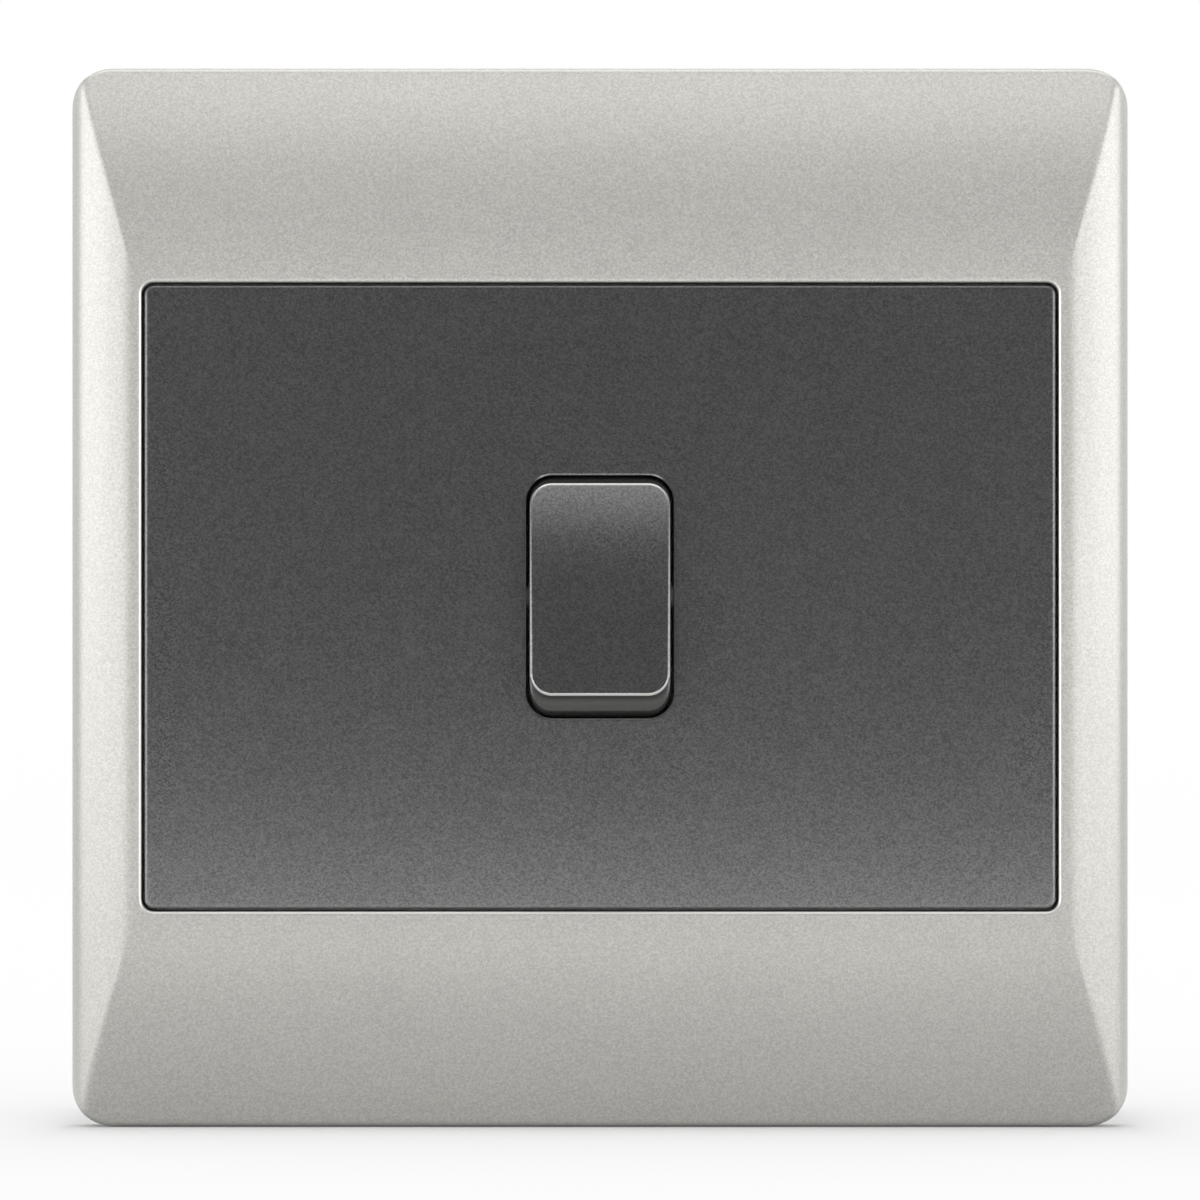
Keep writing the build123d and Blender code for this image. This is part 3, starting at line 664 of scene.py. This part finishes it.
def make_fascia(sizes, legs, material):
    """The plate: one sheet from the rocker's opening over the front, round the rim and back, and legs."""
    cover = bpy.context.scene.switch_cover
    half_height = cover_high.x - cover.end_border - sizes.gap
    recipe = Recipe("fascia", {
        "Half Width": cover_high.x - cover.side_border - sizes.gap,
        "Half Height": half_height,
        "Corner Radius": cover.window_corner - sizes.gap,
        "Front": -cover_low.y - sizes.recess,
        "Opening Half Width": rocker_high.x + sizes.opening_gap,
        "Opening Half Height": sizes.opening_height / 2,
        "Relief Place": box_screw_high.x - bpy.context.scene.switch_screws.box_head,
        **labelled(
            sizes, "thickness", "edge_round", "rim_wall", "rim_rear", "opening_corner", "opening_round",
            "opening_land", "relief_radius", "relief_rise", "leg_spacing",
        ),
    })
    size = recipe.size
    smallest_corner = 0.0001
    counts = (60, 4, 1, 2, 6, 1, 2)
    grid, around, row = recipe.sheet(columns=480, rows=sum(counts))
    front, outside, rim, inside, back, flare, opening = stages(row, counts)
    walk = square_walk(around)
    flare_out = (size.thickness - size.opening_land) * (inside - flare)
    rim_in = size.rim_wall * rim
    opening_shape = (size.opening_half_width, size.opening_half_height, size.opening_corner)
    edge_shape = (size.half_width, size.half_height, size.corner_radius)
    inner_x, inner_z, _ = rounded_outline(walk, *[part + flare_out for part in opening_shape])
    rim_shape = [(part - rim_in).high(smallest_corner) for part in edge_shape]
    outer_x, outer_z, _ = rounded_outline(walk, *rim_shape)
    out = ease(front) - back
    x, z = mix(inner_x, outer_x, out), mix(inner_z, outer_z, out)
    from_edge = outline_distance(x, z, *edge_shape) * -1.0
    from_opening = outline_distance(x, z, *opening_shape)
    face = size.front - edge_drop(from_edge, size.edge_round)
    face = face - edge_drop(from_opening, size.opening_round)
    from_screw = ((abs(x) - size.relief_place).square() + z.square()).root()
    rim_rear = size.rim_rear + size.relief_rise * (1.0 - from_screw.step(size.relief_radius))
    rear = size.front - size.thickness
    land = size.front - size.opening_land
    height = face * (1.0 - outside + opening) + rim_rear * (outside - inside)
    height = height + rear * (inside - flare) + land * (flare - opening)
    plate = recipe.close(recipe.bend(grid, x.vector(x, height * -1.0, z)))
    clips = snap_legs(recipe, size.leg_spacing, half_height, size.rim_rear + legs.thickness, legs)
    return recipe.run(recipe.join(plate, clips), material, "body", "fascia_plate")


def make_rocker(sizes, material):
    """The rocker cap: one sheet from the middle of its face over the edge, down the wall and back inside."""
    fascia = bpy.context.scene.switch_fascia
    front = -cover_low.y - fascia.recess
    pivot_depth = front + pivot.y
    swing = math.hypot(fascia.opening_height / 2, pivot_depth - fascia.opening_land) - sizes.end_gap
    recipe = Recipe("rocker", {
        "Half Width": rocker_high.x,
        "Swing Radius": swing,
        "Edge Forward": pivot_depth + sizes.rise,
        "Tilt": -half_swing,
        **labelled(sizes, "crown_radius", "corner_radius", "edge_round", "wall", "skirt", "notch"),
    })
    size = recipe.size
    counts = (44, 10, 1, 4, 8)
    grid, around, row = recipe.sheet(columns=400, rows=sum(counts))
    face_row, wall_row, skirt_row, inside, ceiling = stages(row, counts)
    walk = square_walk(around)
    edge = size.edge_forward
    edge_half = (size.swing_radius.square() - edge.square()).root()
    crown = edge - (size.crown_radius.square() - edge_half.square()).root()
    inset = size.wall * skirt_row
    forward = edge * (1.0 - wall_row) + size.skirt * (wall_row - inside) + (edge - size.wall) * inside
    half_length = ((size.swing_radius - inset).square() - forward.square()).root()
    outer_x, outer_z, facing_end = rounded_outline(
        walk, size.half_width - inset, half_length, size.corner_radius - inset
    )
    spine = (edge_half - size.half_width) * walk[1]
    out = (face_row * quarter_turn).sine() - ceiling
    x, z = outer_x * out, mix(spine, outer_z, out)
    from_edge = outline_distance(x, z, size.half_width, edge_half, size.corner_radius) * -1.0
    crowned = crown + (size.crown_radius.square() - z.square()).root()
    face = crowned - edge_drop(from_edge, size.edge_round)
    # Painted highlight: a lighter, more metallic band along the face's top and bottom edges and down the end
    # walls, which lightens walls that lie in shade.
    polished_highlight = edge_band(from_edge, size.edge_round) * (1.0 - wall_row)
    wall_painted_highlight = ((wall_row * rocker_wall_slope).clamp() - skirt_row) * rocker_wall_painted_highlight
    grid = recipe.mark(grid, "polish", (polished_highlight + wall_painted_highlight) * abs(facing_end))
    skirt = size.skirt.high((size.notch.square() - z.square()).root())
    height = face * (1.0 - wall_row) + skirt * (wall_row - inside) + (crowned - size.wall) * inside
    cap = recipe.close(recipe.bend(grid, x.vector(x, height * -1.0, z)))
    cap = recipe.move(cap, tuple(pivot), x.vector(size.tilt, 0.0, 0.0))
    return recipe.run(cap, material, "rocker", "rocker_cap")


def make_screws(name, node, material, dims, first, step, count, turn, sizes):
    """A row of like slotted screws; each is made along Z with its head's seat at Z = 0."""
    head_radius, head_height, shank, neck, neck_length, reach, pitch = dims
    recipe = Recipe(name, {
        "Head Radius": head_radius,
        "Head Height": head_height,
        "Shank Radius": shank,
        "Neck Radius": neck,
        "Neck Length": neck_length,
        "Reach": reach,
        "Pitch": pitch,
        "Count": count,
        "First": first,
        "Step": step,
        "Turn": turn,
        **labelled(sizes, "head_round", "slot_width", "slot_depth", "thread_depth"),
    })
    size = recipe.size
    rows_to_a_pitch = 8
    tip_share = 0.6
    rows = rows_to_a_pitch * round(reach / pitch) + 2
    grid, around, row = recipe.sheet(columns=32, rows=rows)
    angle = around * full_turn
    depth = size.reach * stage_of(row, 1, rows - 2)
    wave = abs(2.0 * (depth / size.pitch + around).math("FRACT") - 1.0)
    flattened = (wave * 1.5 - 0.25).clamp()
    thread = size.shank_radius - size.thread_depth * flattened
    threaded = depth.step(size.neck_length)
    shaft = mix(size.neck_radius, thread, threaded)
    shaft = shaft.low(size.shank_radius * tip_share + size.reach - depth)
    radius = shaft * row.step(0.5) * (1.0 - row.step(rows - 0.5))
    spot = angle.vector(radius * angle.math("COSINE"), radius * angle.sine(), depth * -1.0)
    shank_mesh = recipe.close(recipe.bend(grid, spot))

    counts = (4, 6, 3, 4)
    grid, around, row = recipe.sheet(columns=48, rows=sum(counts))
    top, round_off, side, seat = stages(row, counts)
    angle = around * full_turn
    bevel = round_off * quarter_turn
    radius = (size.head_radius - size.head_round) * top + size.head_round * bevel.sine()
    radius = radius * (1.0 - seat)
    height = size.head_height - size.head_round * (1.0 - bevel.math("COSINE"))
    height = height - (size.head_height - size.head_round) * side
    spot = angle.vector(radius * angle.math("COSINE"), radius * angle.sine(), height)
    head = recipe.close(recipe.bend(grid, spot))
    # The slot's cutter is longer than the head is wide, and half of it stands above the head.
    cutter_size = angle.vector(size.head_radius * 2.2, size.slot_width, size.slot_depth * 2.0)
    cutter = recipe.node("MeshCube", {"Size": cutter_size})
    cutter = recipe.move(cutter, angle.vector(0.0, 0.0, size.head_height))
    slotted = recipe.node("MeshBoolean", {"Mesh 1": head, "Mesh 2": cutter}, {"operation": "DIFFERENCE"})
    screw = recipe.join(slotted, shank_mesh)
    row_of_screws = recipe.row_of(screw, size.count, size.first, size.step, size.turn)
    return recipe.run(row_of_screws, material, "body", node, sharp_angle=40.0)


def make_spring(sizes, material):
    """The coil spring in the plunger's tube, built at one length; in the real switch the plunger presses it
    together as it slides.
    """
    middle = (spring_low + spring_high) / 2
    recipe = Recipe("coil_spring", {
        "Turn": Vector((quarter_turn - half_swing, 0.0, 0.0)),
        "Middle": middle,
        **labelled(sizes, "wire_radius", "coil_radius", "coil_length", "turns"),
    })
    size = recipe.size
    coil = {
        "Resolution": 40,
        "Rotations": size.turns,
        "Start Radius": size.coil_radius,
        "End Radius": size.coil_radius,
        "Height": size.coil_length,
    }
    path = recipe.node("CurveSpiral", coil)
    circle = {"Resolution": 12, "Radius": size.wire_radius}
    ring = recipe.node("CurvePrimitiveCircle", circle)
    sweep = {"Curve": path, "Profile Curve": ring, "Fill Caps": True}
    wire = recipe.node("CurveToMesh", sweep)
    wire = recipe.move(wire, path.vector(0.0, 0.0, size.coil_length * -0.5))
    wire = recipe.move(wire, size.middle, size.turn)
    spring = recipe.run(wire, material, "rocker", "plunger_spring", sharp_angle=60.0)
    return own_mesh(spring)


def new_finish(name):
    """A material with an empty Principled surface; gives it, its shader node and a wire to build with."""
    material = bpy.data.materials.new(name)
    material.use_nodes = True
    shader = material.node_tree.nodes["Principled BSDF"]
    return material, shader, Wire(material.node_tree)


def noise(wire, place, scale, detail=2.0, roughness=0.5):
    """A cloudy pattern from 0 to 1."""
    sockets = {"Vector": place, "Scale": scale, "Detail": detail, "Roughness": roughness}
    return wire.add("ShaderNodeTexNoise", None, sockets)


def bump(wire, height, distance, strength):
    """A surface direction from a height pattern."""
    sockets = {"Height": height, "Distance": distance, "Strength": strength}
    return wire.add("ShaderNodeBump", None, sockets)


def rgba(colour, gain=1.0):
    """A colour, made lighter or darker, with full opacity."""
    return (*[min(channel * gain, 1.0) for channel in colour], 1.0)


def plug(shader, name, value):
    """Link a wire to a shader socket, or set a constant on it."""
    if isinstance(value, Wire):
        value.tree.links.new(value.socket, shader.inputs[name])
    else:
        shader.inputs[name].default_value = value


def flake_paint(name, colour, polish, metallic, roughness, contrast):
    """Satin paint with fine metal flakes, a faint cloudiness from spraying, and lighter, more metallic edges that
    are partly polish and partly painted highlight.
    """
    material, shader, wire = new_finish(name)
    place = wire.add("ShaderNodeTexCoord", output="Object")
    cells = wire.add("ShaderNodeTexVoronoi", None, {"Vector": place, "Scale": flake_scale}, "Color")
    flakes = wire.add("ShaderNodeSeparateColor", None, {0: cells})
    clouds = noise(wire, place, spray_scale, detail=3.0)
    tone = (flakes * flake_share + clouds * (1.0 - flake_share)).clamp()
    # Where a mesh marks it, the paint turns lighter and more metallic: partly polish, partly painted highlight.
    polished_highlight = wire.add("ShaderNodeAttribute", {"attribute_name": "polish"}, output="Fac")
    painted = wire.tint(tone, rgba(colour, 1.0 - contrast), rgba(colour, 1.0 + contrast))
    plug(shader, "Base Color", wire.tint(polished_highlight, painted, rgba(polish)))
    plug(shader, "Metallic", mix(metallic, polish_and_highlight_metallic, polished_highlight))
    plug(shader, "Roughness", roughness + (flakes - 0.5) * 0.05)
    grain = noise(wire, place, paint_grain_scale)
    plug(shader, "Normal", bump(wire, grain, distance=0.000004, strength=0.25))
    return material


def plated_metal(name, colour, roughness, grain_scale, stretch):
    """Metal with fine lines, dull patches and small tone changes."""
    material, shader, wire = new_finish(name)
    place = wire.add("ShaderNodeTexCoord", output="Object")
    drawn = wire.add("ShaderNodeMapping", None, {"Vector": place, "Scale": stretch})
    lines = noise(wire, drawn, grain_scale, detail=3.0, roughness=0.6)
    patches = noise(wire, place, dull_patch_scale, detail=4.0, roughness=0.6)
    tone = (0.5 + (patches - 0.5) * 0.7 + (lines - 0.5) * 0.5).clamp()
    plug(shader, "Base Color", wire.tint(tone, rgba(colour, gain=0.82), rgba(colour, gain=1.12)))
    plug(shader, "Metallic", 1.0)
    plug(shader, "Roughness", (roughness + (patches - 0.5) * 0.2 + (lines - 0.5) * 0.12).clamp(0.08, 0.9))
    plug(shader, "Normal", bump(wire, lines, distance=0.000008, strength=0.3))
    return material


def moulded_plastic(name, colour, roughness):
    """Moulded plastic with a fine eroded texture and faint flow marks."""
    material, shader, wire = new_finish(name)
    place = wire.add("ShaderNodeTexCoord", output="Object")
    spark = noise(wire, place, spark_scale, detail=3.0, roughness=0.6)
    flow = noise(wire, place, flow_scale, detail=3.0)
    tone = (0.5 + (flow - 0.5) * 0.6 + (spark - 0.5) * 0.3).clamp()
    plug(shader, "Base Color", wire.tint(tone, rgba(colour, gain=0.88), rgba(colour, gain=1.1)))
    plug(shader, "Roughness", (roughness + (spark - 0.5) * 0.25).clamp(0.1, 0.95))
    plug(shader, "Normal", bump(wire, spark, distance=0.00002, strength=0.35))
    return material


finishes = {}


def finish(slot):
    """The material of one of the record's slots, made when it is first asked for."""
    colours = bpy.context.scene.switch_colours
    even, along_z = (1.0, 1.0, 1.0), (1.0, 1.0, 0.06)
    # After the colours, a paint has metallic, roughness and contrast, a metal has roughness, grain and
    # stretch, and a plastic has roughness.
    makers = {
        "silver_paint": (flake_paint, colours.silver, colours.polish, 0.28, 0.32, 0.19),
        "graphite_paint": (flake_paint, colours.graphite, colours.polish, 0.66, 0.17, 0.36),
        "zinc_steel": (plated_metal, colours.zinc, 0.34, 1800.0, along_z),
        "brass": (plated_metal, colours.brass, 0.3, 1400.0, along_z),
        "copper": (plated_metal, colours.copper, 0.3, 1400.0, along_z),
        "silver": (plated_metal, colours.contact_silver, 0.22, 2500.0, even),
        "spring_steel": (plated_metal, colours.wire_steel, 0.28, 3000.0, even),
        "dark_plastic": (moulded_plastic, colours.dark_moulding, 0.45),
        "pale_plastic": (moulded_plastic, colours.pale_moulding, 0.5),
        "pale_nylon": (moulded_plastic, colours.nylon, 0.42),
    }
    if slot not in finishes:
        maker, *values = makers[slot]
        finishes[slot] = maker(slot, *values)
    return finishes[slot]


class SWITCH_OT_cover(bpy.types.Operator):
    """Build the moulded cover frame with its ribs and snap legs"""

    bl_idname = "switch.cover"
    bl_label = "Cover Frame"

    def execute(self, context):
        scene = context.scene
        piece = make_cover(scene.switch_cover, scene.switch_legs, finish("silver_paint"))
        return {"FINISHED"}


class SWITCH_OT_fascia(bpy.types.Operator):
    """Build the dark plate in the window"""

    bl_idname = "switch.fascia"
    bl_label = "Fascia Plate"

    def execute(self, context):
        scene = context.scene
        piece = make_fascia(scene.switch_fascia, scene.switch_legs, finish("graphite_paint"))
        return {"FINISHED"}


class SWITCH_OT_rocker(bpy.types.Operator):
    """Build the crowned rocker cap"""

    bl_idname = "switch.rocker"
    bl_label = "Rocker"

    def execute(self, context):
        piece = make_rocker(context.scene.switch_rocker, finish("graphite_paint"))
        return {"FINISHED"}


class SWITCH_OT_screws(bpy.types.Operator):
    """Build the box screws, the terminal screws and the earth screw"""

    bl_idname = "switch.screws"
    bl_label = "Screws"

    def execute(self, context):
        sizes = context.scene.switch_screws
        zinc = finish("zinc_steel")

        low, high = box_screw_low, box_screw_high
        seat = low.y + sizes.box_head_height
        dims = (
            sizes.box_head, sizes.box_head_height, sizes.box_shank, sizes.box_neck,
            sizes.box_neck_length, high.y - seat, sizes.box_pitch,
        )
        first = Vector((low.x + sizes.box_head, seat, 0.0))
        step = Vector((high.x - low.x - 2 * sizes.box_head, 0.0, 0.0))
        facing_front = Vector((quarter_turn, 0.0, 0.0))
        piece = make_screws("yoke_screws", "box_screws", zinc, dims, first, step, 2, facing_front, sizes)

        low, high = terminal_screw_low, terminal_screw_high
        head = (high.y - low.y) / 2
        seat = high.x - sizes.terminal_head_height
        dims = (
            head, sizes.terminal_head_height, sizes.terminal_shank, sizes.terminal_shank,
            0.0, seat - low.x, sizes.terminal_pitch,
        )
        first = Vector((seat, (low.y + high.y) / 2, low.z + head))
        step = Vector((0.0, 0.0, (high.z - low.z) / 2 - head))
        turned = Vector((0.0, quarter_turn, 0.0))
        piece = make_screws("clamping_screws", "terminal_screws", zinc, dims, first, step, 3, turned, sizes)

        low, high = earth_screw_low, earth_screw_high
        head = (high.x - low.x) / 2
        seat = low.z + sizes.earth_head_height
        dims = (
            head, sizes.earth_head_height, sizes.earth_shank, sizes.earth_shank,
            0.0, high.z - seat, sizes.earth_pitch,
        )
        first = Vector(((low.x + high.x) / 2, (low.y + high.y) / 2, seat))
        step = Vector((0.0, 0.0, 0.0))
        upended = Vector((half_turn, 0.0, 0.0))
        brass = finish("brass")
        piece = make_screws("grounding_screw", "earth_screw", brass, dims, first, step, 1, upended, sizes)
        return {"FINISHED"}


class SWITCH_OT_spring(bpy.types.Operator):
    """Build the plunger's coil spring"""

    bl_idname = "switch.spring"
    bl_label = "Spring"

    def execute(self, context):
        piece = make_spring(context.scene.switch_spring, finish("spring_steel"))
        return {"FINISHED"}


class SWITCH_OT_insides(bpy.types.Operator):
    """Give the yoke, the module and the contacts their finishes"""

    bl_idname = "switch.insides"
    bl_label = "Yoke, Module and Contacts"

    def execute(self, context):
        for part in frame["record"]["subparts"]:
            node = frame["nodes"][part["node"]]
            if node.hide_render:
                continue
            node.data.materials.clear()
            node.data.materials.append(finish(part["material_slot"]))
        return {"FINISHED"}


def seen_rays(wire):
    """1 for what the camera sees, straight or in a reflection or through glass, otherwise 0."""
    kinds = ("Camera", "Glossy", "Transmission")
    camera, glossy, through = [wire.add("ShaderNodeLightPath", output=f"Is {kind} Ray") for kind in kinds]
    return camera.high(glossy).high(through)


def white_paper(settings):
    """White floor: near the cover it shows the lit floor with its cast shadow, greyer than the rest, which paints
    a soft shadow round the cover; further off it turns to plain white.
    """
    material, shader, wire = new_finish("stage_paper")
    tree = material.node_tree
    tree.nodes.remove(shader)
    seen = seen_rays(wire)
    across, along, _ = wire.add("ShaderNodeTexCoord", output="Object").parts()
    # Beside the cover the cast and painted shadow ends sooner than before and behind it.
    beside = (abs(across) - cover_high.x).high(0.0) * 3.0
    before = (cover_low.y - along).high(along - cad_box[1].y).high(0.0)
    distance = (beside.square() + before.square()).root()
    away = 1.0 - settings.shadow_depth / (distance / settings.shadow_reach + 1.0)
    bounce = settings.floor_bounce
    colour = wire.tint(seen, (bounce, bounce, bounce, 1.0), paper_white)
    matt = wire.add("ShaderNodeBsdfDiffuse", None, {"Color": colour})
    light = wire.add("ShaderNodeEmission", None, {"Color": white, "Strength": 1.0})
    mixed = wire.add("ShaderNodeMixShader", None, {0: seen * away, 1: matt, 2: light})
    tree.links.new(mixed.socket, tree.nodes["Material Output"].inputs["Surface"])
    return material


def softbox(name, place, size, power):
    """A flat lamp that points at the middle of the stage."""
    lamp = bpy.data.lights.new(name, "AREA")
    lamp.shape = "RECTANGLE"
    lamp.size, lamp.size_y = size
    lamp.energy = power
    holder = bpy.data.objects.new(name, lamp)
    holder.location = place
    holder.rotation_euler = (stage_middle - Vector(place)).to_track_quat("-Z", "Y").to_euler()
    bpy.context.scene.collection.objects.link(holder)


def level_corners(half_width, near, far, height):
    """The corners of a card that lies level."""
    left, right = -half_width, half_width
    return [(left, near, height), (right, near, height), (right, far, height), (left, far, height)]


def card(name, corners, material):
    """A flat four-cornered stage card."""
    mesh = bpy.data.meshes.new(name)
    mesh.from_pydata(corners, [], [(0, 1, 2, 3)])
    mesh.materials.append(material)
    board = bpy.data.objects.new(name, mesh)
    bpy.context.scene.collection.objects.link(board)
    board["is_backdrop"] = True
    return board


def reflected_card(name, corners, tone, glow):
    """A card that only shows in reflections and gives no light: a painted reflection, dark (the felt) or bright
    and glowing (the board).
    """
    material, shader, _ = new_finish(name)
    plug(shader, "Base Color", (tone, tone, tone, 1.0))
    plug(shader, "Roughness", 1.0)
    plug(shader, "Emission Color", white)
    plug(shader, "Emission Strength", glow)
    board = card(name, corners, material)
    board.visible_camera = False
    board.visible_diffuse = False
    board.visible_shadow = False


class SWITCH_OT_stage(bpy.types.Operator):
    """Set up the floor, the surroundings, the softboxes and the camera"""

    bl_idname = "switch.stage"
    bl_label = "Stage"

    def execute(self, context):
        scene = context.scene
        settings = scene.switch_stage
        scene.view_settings.view_transform = "Standard"

        level = cad_box[0].z - floor_gap
        front = -settings.floor_front
        corners = level_corners(floor_reach, front, floor_reach, level)
        card("stage_floor", corners, white_paper(settings))

        # Two cards seen only in reflections: painted reflections, dark in front of the object and bright on the
        # floor.
        left, right = -felt_half, felt_half
        corners = [(left, felt_bottom), (right, felt_bottom), (right, felt_top), (left, felt_top)]
        corners = [(across, -felt_distance, up) for across, up in corners]
        reflected_card("stage_felt", corners, felt_tone, felt_glow)
        corners = level_corners(board_half, front, -settings.board_start, level + board_lift)
        reflected_card("stage_board", corners, 0.0, settings.board_glow)

        world = bpy.data.worlds.new("studio")
        world.use_nodes = True
        scene.world = world
        wire = Wire(world.node_tree)
        background = world.node_tree.nodes["Background"]
        plug(background, "Color", white)
        plug(background, "Strength", mix(settings.fill, 1.0, seen_rays(wire)))

        softbox("key_softbox", key_place, key_size, settings.key_power)
        softbox("top_softbox", top_place, top_size, settings.top_power)
        softbox("back_softbox", back_place, back_size, settings.back_power)
        across, before, up = side_place
        for side in (-1, 1):
            softbox("side_softbox", (side * across, before, up), side_size, settings.side_power)

        camera = bpy.data.cameras.new("photo_camera")
        camera.lens = settings.focal_length
        camera.sensor_width = 36.0
        holder = bpy.data.objects.new("photo_camera", camera)
        holder.location = (0.0, -settings.camera_distance, -settings.camera_drop)
        holder.rotation_euler = (quarter_turn, 0.0, 0.0)
        scene.collection.objects.link(holder)
        scene.camera = holder
        return {"FINISHED"}


operators = (
    SWITCH_OT_cover,
    SWITCH_OT_fascia,
    SWITCH_OT_rocker,
    SWITCH_OT_screws,
    SWITCH_OT_spring,
    SWITCH_OT_insides,
    SWITCH_OT_stage,
)

settings_groups = {
    "switch_cover": CoverSizes,
    "switch_fascia": FasciaSizes,
    "switch_legs": LegSizes,
    "switch_rocker": RockerSizes,
    "switch_screws": ScrewSizes,
    "switch_spring": SpringSizes,
    "switch_colours": FinishColours,
    "switch_stage": StageSettings,
}


class SWITCH_PT_panel(bpy.types.Panel):
    """Lists the steps that build the switch, and their sizes"""

    bl_idname = "SWITCH_PT_panel"
    bl_label = "Light Switch"
    bl_space_type = "VIEW_3D"
    bl_region_type = "UI"
    bl_category = "Light Switch"

    def draw(self, context):
        for operator in operators:
            self.layout.operator(operator.bl_idname)
        for name, group in settings_groups.items():
            box = self.layout.box()
            box.label(text=group.__doc__)
            for field in group.__annotations__:
                box.prop(getattr(context.scene, name), field)


def register():
    for name, group in settings_groups.items():
        bpy.utils.register_class(group)
        setattr(bpy.types.Scene, name, PointerProperty(type=group))
    for operator in operators:
        bpy.utils.register_class(operator)
    bpy.utils.register_class(SWITCH_PT_panel)


def unregister():
    bpy.utils.unregister_class(SWITCH_PT_panel)
    for operator in reversed(operators):
        bpy.utils.unregister_class(operator)
    for name, group in settings_groups.items():
        delattr(bpy.types.Scene, name)
        bpy.utils.unregister_class(group)


def main():
    register()
    bpy.ops.switch.cover()
    bpy.ops.switch.fascia()
    bpy.ops.switch.rocker()
    bpy.ops.switch.screws()
    bpy.ops.switch.spring()
    bpy.ops.switch.insides()
    bpy.ops.switch.stage()
    boxes = {"cad": cad_box, "visual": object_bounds()}
    {name: [list(corner) for corner in corners] for name, corners in boxes.items()}


if __name__ == "__main__":
    main()
